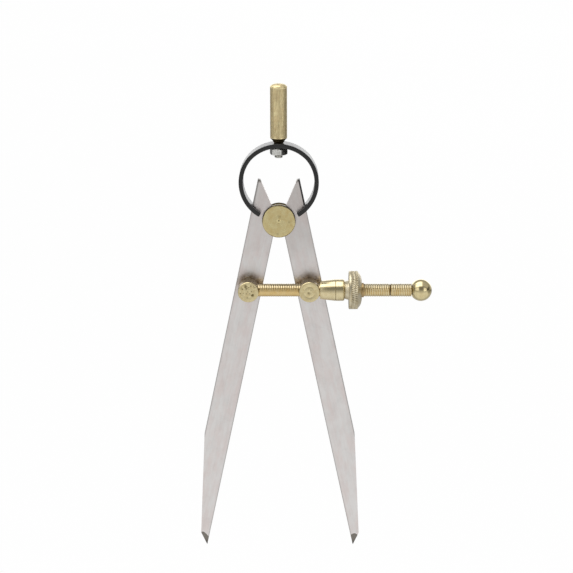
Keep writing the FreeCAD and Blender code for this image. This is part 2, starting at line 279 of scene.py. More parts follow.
def add(tree, kind, inputs=None, **settings):
    """A shader node. Inputs give each socket a number, a colour or another node's socket."""
    made = tree.nodes.new("ShaderNode" + kind)
    for name, value in settings.items():
        setattr(made, name, value)
    for socket, value in (inputs or {}).items():
        if isinstance(value, bpy.types.NodeSocket):
            tree.links.new(value, made.inputs[socket])
        else:
            made.inputs[socket].default_value = value
    return made


def local(tree, centre=(0, 0, 0), lean=0):
    """Coordinates in millimetres from a centre, in axes that lean by an angle about Y."""
    place = add(tree, "TexCoord").outputs["Object"]
    mapping = add(tree, "Mapping", {
        "Vector": place, "Location": Vector(centre) * MM,
        "Rotation": (0, math.radians(lean), 0), "Scale": (MM, MM, MM),
    }, vector_type="TEXTURE")
    return mapping.outputs["Vector"]


def stretched(tree, where, scale):
    """The coordinates scaled on each axis, so that a pattern is drawn out where it is small."""
    return add(tree, "Mapping", {"Vector": where, "Scale": scale}).outputs["Vector"]


def cloudy(tree, where, scale, detail=3, roughness=0.55, distortion=0):
    """Noise between 0 and 1, with features about 1 / scale millimetres wide."""
    return add(tree, "TexNoise", {
        "Vector": where, "Scale": scale, "Detail": detail, "Roughness": roughness,
        "Distortion": distortion}).outputs["Fac"]


def ramp(tree, value, *stops):
    """A colour ramp; a stop is (position, grey or colour)."""
    made = add(tree, "ValToRGB", {"Fac": value})
    elements = made.color_ramp.elements
    while len(elements) < len(stops):
        elements.new(0.5)
    for element, (position, colour) in zip(elements, stops):
        element.position = position
        element.color = colour if isinstance(colour, tuple) else (colour, colour, colour, 1)
    return made.outputs["Color"]


def calc(tree, operation, first, second=0.0):
    """A sum, product or other operation on numbers or sockets."""
    return add(tree, "Math", {0: first, 1: second}, operation=operation).outputs["Value"]


def span(tree, value, low, high, to_low=0.0, to_high=1.0):
    """The value mapped smoothly from one range to another, and held at its ends."""
    return add(tree, "MapRange", {
        "Value": value, "From Min": low, "From Max": high, "To Min": to_low, "To Max": to_high,
    }, interpolation_type="SMOOTHSTEP").outputs["Result"]


def blended(tree, factor, first, second, blend="MIX"):
    """Two colours mixed by a factor."""
    mixed = add(tree, "Mix", {0: factor, 6: first, 7: second}, data_type="RGBA",
                blend_type=blend)
    return mixed.outputs[2]


def parts_of(tree, vector):
    """A vector's X, Y and Z."""
    split = add(tree, "SeparateXYZ", {"Vector": vector}).outputs
    return split["X"], split["Y"], split["Z"]


def bumped(tree, height, depth):
    """A bump of about this depth in millimetres where the height goes from 0 to 1."""
    return add(tree, "Bump", {"Height": height, "Distance": depth * MM}).outputs["Normal"]


def finished(name, build, **constants):
    """A material whose Principled shader takes what build(tree) returns, by socket name."""
    material = bpy.data.materials.new(name)
    material.use_nodes = True
    tree = material.node_tree
    tree.nodes.clear()
    inputs = {socket.replace("_", " "): value for socket, value in constants.items()}
    inputs.update(build(tree))
    shader = add(tree, "BsdfPrincipled", inputs)
    add(tree, "OutputMaterial", {"Surface": shader.outputs["BSDF"]})
    return material


def radius_from(tree, where, axis):
    """How far a place is from an axis, and how far along it."""
    x, y, z = parts_of(tree, where)
    along = {"X": x, "Y": y, "Z": z}[axis]
    others = [part for key, part in (("X", x), ("Y", y), ("Z", z)) if key != axis]
    squares = [calc(tree, "MULTIPLY", part, part) for part in others]
    return calc(tree, "SQRT", calc(tree, "ADD", *squares)), along


def leg_steel(name, side, age_and_edge_shade):
    """Satin ground steel with grain along the leg, mottling, darker edges, grime with painted
    shade and reflection of the post round the post, and a dark ear tip. The last argument dulls
    the upper leg and paints a black shadow line along the ear's outer edge."""
    def build(tree):
        where = local(tree, FULCRUM, -side * LEG_LEAN)
        grain = cloudy(tree, stretched(tree, where, (9, 9, 0.22)), 1, 2, 0.6)
        coarse = cloudy(tree, stretched(tree, where, (1.6, 1.6, 0.07)), 1, 3, 0.6)
        mottle = cloudy(tree, where, 0.16, 5, 0.65, 0.4)
        blush = cloudy(tree, stretched(tree, where, (0.28, 0.28, 0.1)), 1, 4, 0.6)
        colour = blended(tree, ramp(tree, blush, (0.38, 0.0), (0.62, 1.0)),
                         tint(231, 228, 226), tint(228, 219, 216))
        shade = ramp(tree, mottle, (0.3, 0.93), (0.5, 0.985), (0.7, 1.0))
        colour = blended(tree, 1.0, colour, shade, "MULTIPLY")
        streak = ramp(tree, coarse, (0.3, 0.95), (0.55, 1.0), (0.75, 1.0))
        colour = blended(tree, 1.0, colour, streak, "MULTIPLY")
        x, _, z = parts_of(tree, where)
        across = calc(tree, "MULTIPLY", x, float(side))
        border = calc(tree, "ADD", span(tree, across, LEG_NEAR, LEG_NEAR + 0.9, 1.0, 0.0),
                      span(tree, across, LEG_FAR - 0.9, LEG_FAR))
        worn = calc(tree, "MULTIPLY", border, ramp(tree, coarse, (0.3, 0.2), (0.7, 0.5)))
        colour = blended(tree, worn, colour, tint(196, 192, 190))
        edge = calc(tree, "ADD", span(tree, across, LEG_NEAR + 0.2, LEG_NEAR + 0.45, 0.55, 0.0),
                    span(tree, across, LEG_FAR - 0.45, LEG_FAR - 0.2, 0.0, 0.55))
        colour = blended(tree, edge, colour, tint(158, 155, 152))
        mid_leg = (LEG_NEAR + LEG_FAR) / 2
        # Grime with painted shade and dark reflection of the post, round the post and most above it
        from_post = add(tree, "CombineXYZ", {
            "X": calc(tree, "SUBTRACT", across, mid_leg),
            "Z": calc(tree, "ADD", z, POST_DROP)}).outputs["Vector"]
        away = add(tree, "VectorMath", {0: from_post}, operation="LENGTH").outputs["Value"]
        ring = span(tree, away, 4.7, 7.6, 1.0, 0.0)
        smudge = cloudy(tree, where, 0.8, 4, 0.65, 0.3)
        above = span(tree, z, -POST_DROP - 2, -POST_DROP + 3, 0.25, 1.0)
        darkening = calc(tree, "MULTIPLY", calc(tree, "MULTIPLY", ring, above),
                     ramp(tree, smudge, (0.35, 0.3), (0.62, 0.85)))
        colour = blended(tree, darkening, colour, tint(136, 118, 98))
        ears = span(tree, z, EAR_RISE - 1.5, EAR_RISE - 0.4, 0.0, 0.85)
        colour = blended(tree, ears, colour, tint(96, 96, 88))
        dull = calc(tree, "ADD", span(tree, z, 0, 6, 0.0, 0.12),
                    span(tree, z, -26, -8, 0.0, 0.3 * age_and_edge_shade))
        colour = blended(tree, dull, colour, tint(172, 164, 158))
        # A painted black shadow line along the ear's outer edge, set by the last argument
        painted_edge_shadow = calc(tree, "MULTIPLY", span(tree, across, LEG_FAR - 0.85, LEG_FAR - 0.55),
                    span(tree, z, 3, 5, 0.0, age_and_edge_shade))
        colour = blended(tree, painted_edge_shadow, colour, tint(44, 42, 42))
        rough = ramp(tree, grain, (0.25, 0.30), (0.75, 0.42))
        height = calc(tree, "ADD", grain, calc(tree, "MULTIPLY", coarse, 0.8))
        return {"Base Color": colour, "Roughness": rough,
                "Normal": bumped(tree, height, 0.012)}
    return finished(name, build, Metallic=1.0)


def point_steel(name, side):
    """The hollow-ground points: steel with painted dark reflection, fine marks, darkest at the tip.
    """
    def build(tree):
        where = local(tree, FULCRUM, -side * LEG_LEAN)
        grain = cloudy(tree, stretched(tree, where, (7, 7, 0.6)), 1, 2, 0.6)
        tip = span(tree, parts_of(tree, local(tree))[2], 0.2, 3.4)
        # The darkness is painted reflection of the hollows' dark surroundings, darkest at the tip
        colour = blended(tree, tip, tint(58, 55, 50), tint(132, 127, 120))
        colour = blended(tree, 1.0, colour, ramp(tree, grain, (0.3, 0.75), (0.7, 1.15)),
                         "MULTIPLY")
        return {"Base Color": colour, "Roughness": ramp(tree, grain, (0.3, 0.3), (0.7, 0.42)),
                "Normal": bumped(tree, grain, 0.02)}
    return finished(name, build, Metallic=1.0)


def black_steel(name):
    """Black oxide on spring steel, with a few lighter rubs and a dull rear edge."""
    def build(tree):
        where = local(tree, RING_CENTRE)
        fine = cloudy(tree, where, 3.2, 4, 0.6)
        broad = cloudy(tree, where, 0.35, 4, 0.6)
        colour = blended(tree, ramp(tree, broad, (0.4, 0.0), (0.75, 1.0)),
                         tint(14, 14, 13), tint(28, 28, 27))
        rear = span(tree, parts_of(tree, where)[1], BOW_HIGH.y - 0.9, BOW_HIGH.y - 0.4, 0.0, 0.45)
        rough = calc(tree, "ADD", span(tree, fine, 0.3, 0.7, 0.2, 0.34), rear)
        return {"Base Color": colour, "Roughness": rough,
                "Normal": bumped(tree, fine, 0.012)}
    return finished(name, build, Metallic=0.0, IOR=1.5)


def brass(name, clean, stained, centre, axis, marks_scale, smooth, rough, depth, stain,
          rim=None, sunk=None, spots=(), extra=None):
    """Brass turned about an axis: fine marks round it, of this scale and depth, and clean
    and stained patches, smooth and rough. A lower stain number leaves less of it clean.
    A rim is (radius, strength, colour): past the radius it is painted darker as shade, most of all
    above.
    Where it is sunk below a face at this place along the axis, it holds grime.
    A spot is a stain on the front: (across, up, radius, strength) from the axis.
    Extra is a function that changes the colour last: extra(tree, colour, radius, along)."""
    def build(tree):
        where = local(tree, centre)
        radius, along = radius_from(tree, where, axis)
        place = add(tree, "CombineXYZ", {"X": radius, "Y": along}).outputs["Vector"]
        marks = cloudy(tree, place, marks_scale, 3, 0.7)
        patches = cloudy(tree, where, 0.45, 5, 0.65, 0.6)
        specks = cloudy(tree, where, 2.4, 3, 0.6)
        spread = calc(tree, "ADD", calc(tree, "MULTIPLY", patches, 0.7),
                      calc(tree, "MULTIPLY", specks, 0.3))
        colour = blended(tree, ramp(tree, spread, (stain - 0.08, 0.0), (stain + 0.16, 1.0)),
                         clean, stained)
        colour = blended(tree, 1.0, colour, ramp(tree, marks, (0.3, 0.92), (0.7, 1.06)),
                         "MULTIPLY")
        if rim:
            # Painted shade on the rim, strongest on its upper side
            rim_shade = calc(tree, "MULTIPLY", span(tree, radius, rim[0] - 0.06, rim[0]),
                           span(tree, specks, 0.3, 0.6, rim[1], 1.0))
            height = parts_of(tree, where)[2]
            rim_shade = calc(tree, "MULTIPLY", rim_shade, span(tree, height, -2, 2.5, 0.35, 1.0))
            colour = blended(tree, rim_shade, colour, rim[2])
        for across, up, size, strength in spots:
            x, _, z = parts_of(tree, where)
            from_spot = add(tree, "CombineXYZ", {
                "X": calc(tree, "SUBTRACT", x, across),
                "Z": calc(tree, "SUBTRACT", z, up)}).outputs["Vector"]
            away = add(tree, "VectorMath", {0: from_spot}, operation="LENGTH").outputs["Value"]
            ragged = calc(tree, "ADD", away, calc(tree, "MULTIPLY", specks, size * 1.6))
            spot = calc(tree, "MULTIPLY", span(tree, ragged, size * 1.1, size * 1.7, strength, 0.0),
                        span(tree, along, -1, 0, 1.0, 0.0))
            colour = blended(tree, spot, colour, tint(92, 78, 42))
        if sunk:
            depth_in = calc(tree, "SUBTRACT", along, sunk)
            darkening = calc(tree, "MULTIPLY", span(tree, depth_in, 0.03, 0.14),
                         span(tree, radius, 4.0, 4.2, 0.85, 0.0))
            darkening = calc(tree, "MULTIPLY", darkening, span(tree, depth_in, 0.8, 1.2, 1.0, 0.0))
            colour = blended(tree, darkening, colour, tint(84, 68, 38))
        if extra:
            colour = extra(tree, colour, radius, along)
        roughness = span(tree, spread, 0.35, 0.7, smooth, rough)
        return {"Base Color": colour, "Roughness": roughness,
                "Normal": bumped(tree, marks, depth)}
    return finished(name, build, Metallic=1.0)


def thread_brass(name):
    """Thread brass: bright crests, roots painted darker as shade, greyer along the top, and an
    amber tone between the posts."""
    def build(tree):
        where = local(tree, SPINDLE_AXIS)
        radius, along = radius_from(tree, where, "X")
        # The roots are painted darker as shade in the thread
        depth = span(tree, radius, SPINDLE_RADIUS - 0.3, SPINDLE_RADIUS - 0.04)
        patches = cloudy(tree, where, 0.35, 4, 0.6)
        clean = blended(tree, ramp(tree, patches, (0.4, 0.0), (0.65, 1.0)),
                        tint(218, 204, 164), tint(206, 182, 130))
        colour = blended(tree, depth, tint(190, 158, 98), clean)
        amber = span(tree, along, 16, 30, 0.48, 0.0)
        colour = blended(tree, amber, colour, tint(212, 174, 100))
        # Greyer along the top
        top_grey = span(tree, parts_of(tree, where)[2], 1.0, 2.1, 0.0, 0.6)
        colour = blended(tree, top_grey, colour, tint(172, 166, 146))
        floor = span(tree, radius, SPINDLE_RADIUS - GROOVE_DEEP + 0.02, SPINDLE_RADIUS - 0.34,
                     1.0, 0.0)
        colour = blended(tree, floor, colour, tint(104, 84, 50))
        rough = span(tree, radius, SPINDLE_RADIUS - 0.5, SPINDLE_RADIUS, 0.45, 0.25)
        fine = cloudy(tree, where, 4, 3, 0.6)
        return {"Base Color": colour, "Roughness": rough,
                "Normal": bumped(tree, fine, 0.01)}
    return finished(name, build, Metallic=1.0)


def grip_brass(name, cone_top, dome_start, crest):
    """Knurled brass, darker between its points and streaked along, with a neck painted dark as
    shade.
    """
    def build(tree):
        where = local(tree)
        radius, along = radius_from(tree, where, "Z")
        patches = cloudy(tree, where, 0.35, 5, 0.65, 0.5)
        specks = cloudy(tree, where, 1.7, 4, 0.7)
        streaks = cloudy(tree, stretched(tree, where, (1.5, 1.5, 0.14)), 1, 3, 0.6, 0.3)
        clean = blended(tree, ramp(tree, specks, (0.36, 0.0), (0.64, 1.0)),
                        tint(250, 238, 192), tint(226, 208, 158))
        clean = blended(tree, ramp(tree, patches, (0.35, 0.0), (0.7, 0.5)),
                        clean, tint(222, 194, 146))
        clean = blended(tree, 1.0, clean, ramp(tree, streaks, (0.35, 0.78), (0.65, 1.22)),
                        "MULTIPLY")
        grains = cloudy(tree, where, 1.5, 1, 0.5)
        clean = blended(tree, 1.0, clean, ramp(tree, grains, (0.36, 0.93), (0.64, 1.06)),
                        "MULTIPLY")
        below_dome = span(tree, along, dome_start - 0.1, dome_start + 0.1, 1.0, 0.0)
        shut = calc(tree, "MULTIPLY", below_dome,
                    span(tree, radius, crest - 0.14, crest - 0.02, 0.45, 0.0))
        clean = blended(tree, shut, clean, tint(134, 114, 76))
        # The neck is painted dark as shade and reflection of the black bow below it
        dark = span(tree, along, cone_top + 0.1, cone_top + 0.4, 1.0, 0.0)
        colour = blended(tree, dark, clean, tint(128, 112, 78))
        rough = ramp(tree, specks, (0.3, 0.34), (0.7, 0.5))
        return {"Base Color": colour, "Roughness": rough,
                "Normal": bumped(tree, specks, 0.03)}
    return finished(name, build, Metallic=1.0)


def sleeve_brass(name):
    """Polished brass for the thrust sleeve and its ring."""
    return brass(name, tint(218, 204, 164), tint(204, 186, 140), SPINDLE_AXIS, "X",
                 marks_scale=1.8, smooth=0.17, rough=0.27, depth=0.006, stain=0.55)


def plated_steel(name):
    """Bright plating with faint marks and small dull spots."""
    def build(tree):
        where = local(tree, RING_CENTRE)
        spots = cloudy(tree, where, 1.1, 4, 0.7)
        marks = cloudy(tree, stretched(tree, where, (1, 1, 7)), 1, 2, 0.6)
        colour = blended(tree, ramp(tree, spots, (0.42, 0.0), (0.7, 1.0)),
                         tint(226, 226, 222), tint(160, 156, 148))
        return {"Base Color": colour, "Roughness": ramp(tree, marks, (0.3, 0.16), (0.7, 0.3)),
                "Normal": bumped(tree, marks, 0.01)}
    return finished(name, build, Metallic=1.0)


# ---------------------------------------------------------------- pieces

def make_leg(node, side, age_and_edge_shade):
    """A leg with its ground hollows in steel with painted dark reflection. Its edges are softened
    except near the point."""
    steel = leg_steel(f"{node}_steel", side, age_and_edge_shade)
    points = point_steel(f"{node}_point_steel", side)
    softness, lowest_edge = 0.13, 7
    bm = refined(node, softness, lambda e: min(v.co.z for v in e.verts) > lowest_edge)
    for face in bm.faces:
        in_hollow = 0.3 < abs(face.normal.y) < 0.9998
        if face.calc_center_median().z < GRIND_TOP and in_hollow:
            face.material_index = 1
    obj = even_shading(new_object(f"{node}_ground", bm, [steel, points], sharp=28))
    placed(obj, node, "leg_steel", node)


def make_spool():
    """The fulcrum spool: its two heads, with turning marks on their faces, and its waist."""
    low, high = corners("fulcrum_spool")
    radius = high.x
    clear = LEG_THICK / 2 + TURNING_GAP
    ridges, ridge_pitch = 18, 0.32

    def head(face, back):
        """A head's outline from the centre of its face to the foot of its rim."""
        way = 1 if back > face else -1
        marks = [(face, 0), (face, 0.55), (face + 0.1 * way, 0.75)]
        for i in range(ridges):
            reach = 1 + i * ridge_pitch
            marks += [(face + 0.012 * way, reach),
                      (face + 0.035 * way, reach + ridge_pitch / 2)]
        marks += [(face + 0.012 * way, radius - 0.62), (face + 0.03 * way, radius - 0.5, 0.1),
                  (face + 0.26 * way, radius - 0.12, 0.12), (face + 0.5 * way, radius, 0.1),
                  (back, radius, 0.08)]
        return marks

    front = head(low.y, -clear)
    rear = head(high.y, clear)
    outline = rounded(front + [(-clear, WAIST_RADIUS), (clear, WAIST_RADIUS)] + rear[::-1], 2)
    outline = [(along - FULCRUM.y, reach) for along, reach in outline]
    bm = turned(outline, 96, "Y", FULCRUM)
    # The rim colour is painted shade on the heads' rims, darkest along the top
    metal = brass("spool_brass", tint(215, 202, 153), tint(203, 181, 126), FULCRUM, "Y",
                  marks_scale=1.5, smooth=0.26, rough=0.36, depth=0.02, stain=0.5,
                  rim=(radius - 0.3, 0.85, tint(46, 35, 20)),
                  spots=((0, 0.2, 0.5, 0.3), (0.2, 2.2, 1.1, 0.25), (4.6, -0.3, 0.9, 0.25),
                         (-0.6, -5.6, 0.9, 0.25)))
    obj = new_object("fulcrum_spool_turned", bm, [metal], sharp=SHARP_TURN)
    placed(obj, "fulcrum", "turned_brass", "fulcrum_spool")


def ring_point(angle, radius, y):
    """A point of the bow's ring, at an angle from its top towards its right side. Near its top
    the ring is a flatter arc."""
    turn, edge = math.radians(angle), math.radians(FLAT_ANGLE)
    if abs(turn) < edge:
        rise = radius * (1 - math.cos(edge)) - RING_FLAT
        flatter = ((radius * math.sin(edge)) ** 2 + rise ** 2) / (2 * rise)
        below = flatter + RING_FLAT - radius
        radius = (math.sqrt(flatter ** 2 - (below * math.sin(turn)) ** 2)
                  - below * math.cos(turn))
    return RING_CENTRE + Vector((radius * math.sin(turn), y, radius * math.cos(turn)))


def make_bow(side, body, steel):
    """Half of the bow spring, from its top to its fork, as a grid bent round the ring."""
    fork = 180 - FORK_ANGLE
    step = 2.5
    angles = stepped(0, fork, step) + stepped(fork, 180 - TINE_ANGLE, step)[1:]
    lines = [BOW_LOW.y, -FORK_GAP / 2, FORK_GAP / 2, BOW_HIGH.y]
    radii = [RING_RADIUS - STRIP_THICK, RING_RADIUS]
    bm = bmesh.new()
    grid = {}

    def corner(i, j, k):
        """The vertex at a row round the ring, a line across the strip, and a side of it."""
        if (i, j, k) not in grid:
            grid[i, j, k] = bm.verts.new(ring_point(side * angles[i], radii[k], lines[j]))
        return grid[i, j, k]

    def solid(i, j):
        """Whether a cell of the grid is steel: it isn't in the fork or past the strip's edges."""
        if not (0 <= i < len(angles) - 1 and 0 <= j < len(lines) - 1):
            return False
        return j != 1 or angles[i] < fork - 0.01

    for i in range(len(angles) - 1):
        for j in range(len(lines) - 1):
            if not solid(i, j):
                continue
            for k in range(2):
                bm.faces.new([corner(i, j, k), corner(i + 1, j, k),
                              corner(i + 1, j + 1, k), corner(i, j + 1, k)])
            walls = [((i - 1, j), (i, j), (i, j + 1)), ((i + 1, j), (i + 1, j), (i + 1, j + 1)),
                     ((i, j - 1), (i, j), (i + 1, j)), ((i, j + 1), (i, j + 1), (i + 1, j + 1))]
            for beside, (a, b), (c, d) in walls:
                if not solid(*beside):
                    bm.faces.new([corner(a, b, 0), corner(c, d, 0), corner(c, d, 1),
                                  corner(a, b, 1)])
    bmesh.ops.recalc_face_normals(bm, faces=bm.faces)
    softness = 0.32
    edges = [e for e in bm.edges if e.calc_face_angle() > math.radians(ROUNDED_TURN)
             and max(abs(v.co.x) for v in e.verts) > 0.01]
    bmesh.ops.bevel(bm, geom=edges, offset=softness, offset_type="OFFSET", segments=3,
                    profile=0.5, affect="EDGES", clamp_overlap=True)
    obj = even_shading(new_object(f"bow_spring_{body}", bm, [steel], sharp=SHARP_TURN))
    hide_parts("bow_spring")
    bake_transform(obj)


def make_grip():
    """The grip: a neck painted dark as shade, a diamond knurl and a smooth dome."""
    low, high = corners("grip")
    radius = high.x
    bottom, top = low.z, high.z
    teeth, pitch, depth = 30, 0.78, 0.15
    dome = 1.6
    steps = 10
    start, end = bottom + GRIP_CONE + 0.35, top - dome - 0.15

    def knurl(along, angle):
        """Two crossing sets of slanted cuts that fade out at both ends."""
        if not start < along < end:
            return 0
        fade = min(1, (along - start) / 0.3, (end - along) / 0.3)
        around, up = teeth * angle / TAU, (along - start) / pitch
        return depth * fade * max(groove(around + up), groove(around - up))

    neck = rounded([(bottom, 0), (bottom, GRIP_NECK - 0.35, 0.1),
                    (bottom + GRIP_CONE - 0.5, radius - 0.8, 0.1),
                    (bottom + GRIP_CONE + 0.1, radius - 0.1, 0.05), (start, radius)])
    rows = [(z, radius) for z in stepped(start, end, pitch / 5)]
    domed = []
    for step in range(steps):
        turn = math.pi / 2 * step / steps
        domed.append((top - dome + dome * math.sin(turn), radius * math.cos(turn) ** 0.8))
    bm = turned(neck[:-1] + rows + domed + [(top, 0)], teeth * 5, "Z", relief=knurl)
    metal = grip_brass("knurled_grip_brass", bottom + GRIP_CONE, end, radius)
    obj = new_object("grip_knurled", bm, [metal], sharp=75)
    placed(obj, "head", "knurled_brass", "grip")


def make_stud():
    """The stud below the grip, threaded as far as the bow spring."""
    low, high = corners("grip_stud")
    radius = high.x
    depth = 0.34
    rows = stepped(low.z + 0.45, BOW_HIGH.z - STRIP_THICK + 0.4, STUD_PITCH / 8)

    def thread(along, angle):
        """The thread's depth, which is nothing at both ends of its run."""
        if along < rows[0] + 0.01 or along > rows[-1] - 0.01:
            return 0
        return depth * groove(along / STUD_PITCH - angle / TAU) ** 1.3

    outline = [(low.z, 0), (low.z, radius - 0.62), (low.z + 0.12, radius - 0.45)]
    outline += [(z, radius) for z in rows] + [(high.z, radius), (high.z, 0)]
    obj = new_object("grip_stud_threaded", turned(outline, 40, "Z", relief=thread),
                     [plated_steel("stud_plating")], sharp=60)
    placed(obj, "head", "plated_steel", "grip_stud")


def make_hex_nut():
    """A hexagon with its corners chamfered at both ends, as a mesh of radial columns."""
    low, high = corners("grip_nut")
    bore = 2.02
    flat = HEX_FLATS / 2
    chamfer = math.tan(math.radians(32))
    softness = 0.12
    columns = 96
    bm = bmesh.new()
    rings = []
    for k in range(columns):
        angle = 360 * k / columns
        reach = flat / math.cos(math.radians((angle + 30) % 60 - 30))
        drop = (reach - flat) * chamfer + softness
        turn = math.radians(angle + HEX_TURN)
        around = Vector((math.cos(turn), math.sin(turn), 0))
        spots = [(bore, low.z + 0.25), (bore + 0.25, low.z), (flat - 0.1, low.z),
                 (reach, low.z + drop), (reach, high.z - drop), (flat - 0.1, high.z),
                 (bore + 0.25, high.z), (bore, high.z - 0.25)]
        rings.append([bm.verts.new(around * r + Vector((0, 0, z))) for r, z in spots])
    for k, ring in enumerate(rings):
        following = rings[(k + 1) % columns]
        for i in range(len(ring)):
            j = (i + 1) % len(ring)
            bm.faces.new([ring[i], ring[j], following[j], following[i]])
    bmesh.ops.recalc_face_normals(bm, faces=bm.faces)
    shortest = 1.2
    upright = [e for e in bm.edges if e.calc_face_angle() > math.radians(50)
               and abs(e.verts[0].co.z - e.verts[1].co.z) > shortest]
    bmesh.ops.bevel(bm, geom=upright, offset=softness, offset_type="OFFSET", segments=2,
                    profile=0.5, affect="EDGES", clamp_overlap=True)
    obj = even_shading(new_object("grip_nut_hex", bm, [plated_steel("nut_plating")],
                                  sharp=25))
    placed(obj, "head", "plated_steel", "grip_nut")


def pits(centre, face, seed):
    """Small irregular pits for a worn face, apart from each other, as one mesh. The lower
    right of the face has none."""
    chance = random.Random(seed)
    wanted, tries, field, sides = 17, 200, 3.9, 7
    spots = []
    bm = bmesh.new()
    for _ in range(tries):
        size = chance.uniform(0.2, 0.46)
        reach = field * math.sqrt(chance.random())
        turn = chance.uniform(0, TAU)
        x, z = reach * math.cos(turn), reach * math.sin(turn)
        clear = all(math.hypot(x - u, z - w) > size + r + 0.12 for u, w, r in spots)
        if len(spots) == wanted or not clear or z < x - 2.6:
            continue
        spots.append((x, z, size))
        depth = chance.uniform(0.12, 0.24)
        ends = ((face - 1, size), (face + depth, size * 0.6))
        rings = []
        start = chance.uniform(0, TAU)
        spread = [chance.uniform(0.6, 1.2) for _ in range(sides)]
        for y, radius in ends:
            ring = []
            for k, share in enumerate(spread):
                angle = start + TAU * k / sides
                ring.append(bm.verts.new(centre + Vector((
                    x + radius * share * math.cos(angle), y,
                    z + radius * share * math.sin(angle)))))
            rings.append(ring)
        outer, inner = rings
        for k in range(sides):
            j = (k + 1) % sides
            bm.faces.new([outer[k], outer[j], inner[j], inner[k]])
        bm.faces.new(outer)
        bm.faces.new(inner)
    return bm


def make_post(node, through):
    """A post with its peened rear end and its spindle hole. On the face of the one that the
    spindle passes through are a turned centre and a faint ring, and on the other's are pits."""
    low, high = corners(node)
    radius = (high.x - low.x) / 2
    centre = centre_line(node)
    face = low.y
    seat = face + POST_LENGTH
    washer = corners(node + "_washer")[1].y
    dimple, ring = (0.12, 0.05) if through else (0.02, 0.02)
    outline = rounded([
        (face + dimple, 0), (face + dimple * 0.8, 0.45), (face, 1, 0.2), (face, 2.3),
        (face + ring, 2.45), (face, 2.6), (face, radius - 0.28, 0.15), (face + 0.25, radius, 0.12),
        (seat - 0.15, radius, 0.1), (seat, radius - 0.15), (seat, SHANK_RADIUS),
        (washer, SHANK_RADIUS), (washer, PEEN_RADIUS, 0.1), (high.y - 0.12, 2.1, 0.35),
        (high.y, 1.4, 0.5), (high.y, 0)], 3)
    bm = turned(outline, 96, "Y", centre)
    if through:
        spots = ((-0.4, -0.3, 0.75, 0.45), (0.5, 0.8, 0.6, 0.3), (0.9, -2.6, 0.5, 0.2))
    else:
        spots = ((-1.1, 2.8, 1.1, 0.75), (-0.8, 1.7, 0.8, 0.6), (1.9, -1.3, 1.0, 0.9),
                 (1.2, 2.9, 0.6, 0.6), (-0.2, 0.3, 0.6, 0.4), (-2.9, 1.7, 0.9, 0.35),
                 (2.6, 2.2, 0.7, 0.35), (-0.4, -2.4, 0.6, 0.4))
    # The rim colour is painted shade on the post's side, darkest along the top
    metal = brass(f"{node}_brass", tint(222, 208, 164), tint(196, 173, 122), centre, "Y",
                  marks_scale=3.1, smooth=0.24, rough=0.38, depth=0.02, stain=0.54,
                  rim=(radius - 0.04, 0.3, tint(140, 118, 84)),
                  sunk=None if through else face, spots=spots)
    obj = new_object(f"{node}_turned", bm, [metal], sharp=SHARP_TURN)
    bore_radius = SPINDLE_RADIUS + (BORE_GAP if through else PRESS_GAP)
    past = 5
    start, end = low.x - past if through else SPINDLE_LOW.x, high.x + past
    bore = [(start, 0), (start, bore_radius), (end, bore_radius), (end, 0)]
    cut_from(obj, turned(bore, 72, "X", SPINDLE_AXIS))
    if not through:
        cut_from(obj, pits(centre, face, seed=4))
    obj.data.shade_smooth()
    obj.data.set_sharp_from_angle(angle=math.radians(SHARP_TURN))
    even_shading(obj)
    placed(obj, node, "turned_brass", node)


def make_washer(node, body):
    """The washer under a post's peened end."""
    low, high = corners(node)
    centre = centre_line(node)
    outer = (high.x - low.x) / 2
    inner = SHANK_RADIUS + 0.02
    outline = rounded([(low.y, inner), (low.y, outer, 0.12), (high.y, outer, 0.3),
                       (high.y, inner)], 3)
    metal = brass(f"{node}_brass", tint(214, 200, 156), tint(180, 156, 106), centre, "Y",
                  marks_scale=3.1, smooth=0.26, rough=0.4, depth=0.02, stain=0.5)
    bm = turned(outline, 72, "Y", centre, closed=True)
    obj = new_object(f"{node}_turned", bm, [metal], sharp=SHARP_TURN)
    placed(obj, body, "turned_brass", node)


def make_spindle():
    """The spindle: its thread, the stop groove in it, and the spigot inside the ball."""
    start, end = SPINDLE_LOW.x, SPINDLE_HIGH.x
    radius = SPINDLE_RADIUS
    thread_start = -9.6
    cut = GROOVE_AT + GROOVE_WIDE
    runs = [(thread_start, GROOVE_AT + 0.1), (cut - 0.1, BALL_AT)]
    shoulder = radius - GROOVE_DEEP
    deep, shallow = 0.25, 0.11
    worn_to, wear_length = 30, 14

    def thread(along, angle):
        """The thread's depth: it is worn shallow where the right post slides."""
        if not any(low < along < high for low, high in runs):
            return 0
        worn = min(1, max(0, (worn_to - along) / wear_length))
        depth = deep - (deep - shallow) * worn
        return depth * groove(along / SPINDLE_PITCH - angle / TAU) ** 1.3

    step = SPINDLE_PITCH / 10
    outline = [(start, 0), (start, radius)]
    outline += [(x, radius) for x in stepped(*runs[0], step)]
    outline += [(GROOVE_AT + 0.26, shoulder), (cut - 0.26, shoulder)]
    outline += [(x, radius) for x in stepped(*runs[1], step)]
    outline += [(BALL_AT + 0.02, SPIGOT_RADIUS), (end, SPIGOT_RADIUS), (end, 0)]
    bm = turned(outline, 48, "X", SPINDLE_AXIS, relief=thread)
    obj = new_object("spindle_threaded", bm, [thread_brass("spindle_brass")], sharp=60)
    placed(obj, "left_post", "thread_brass", "spindle")


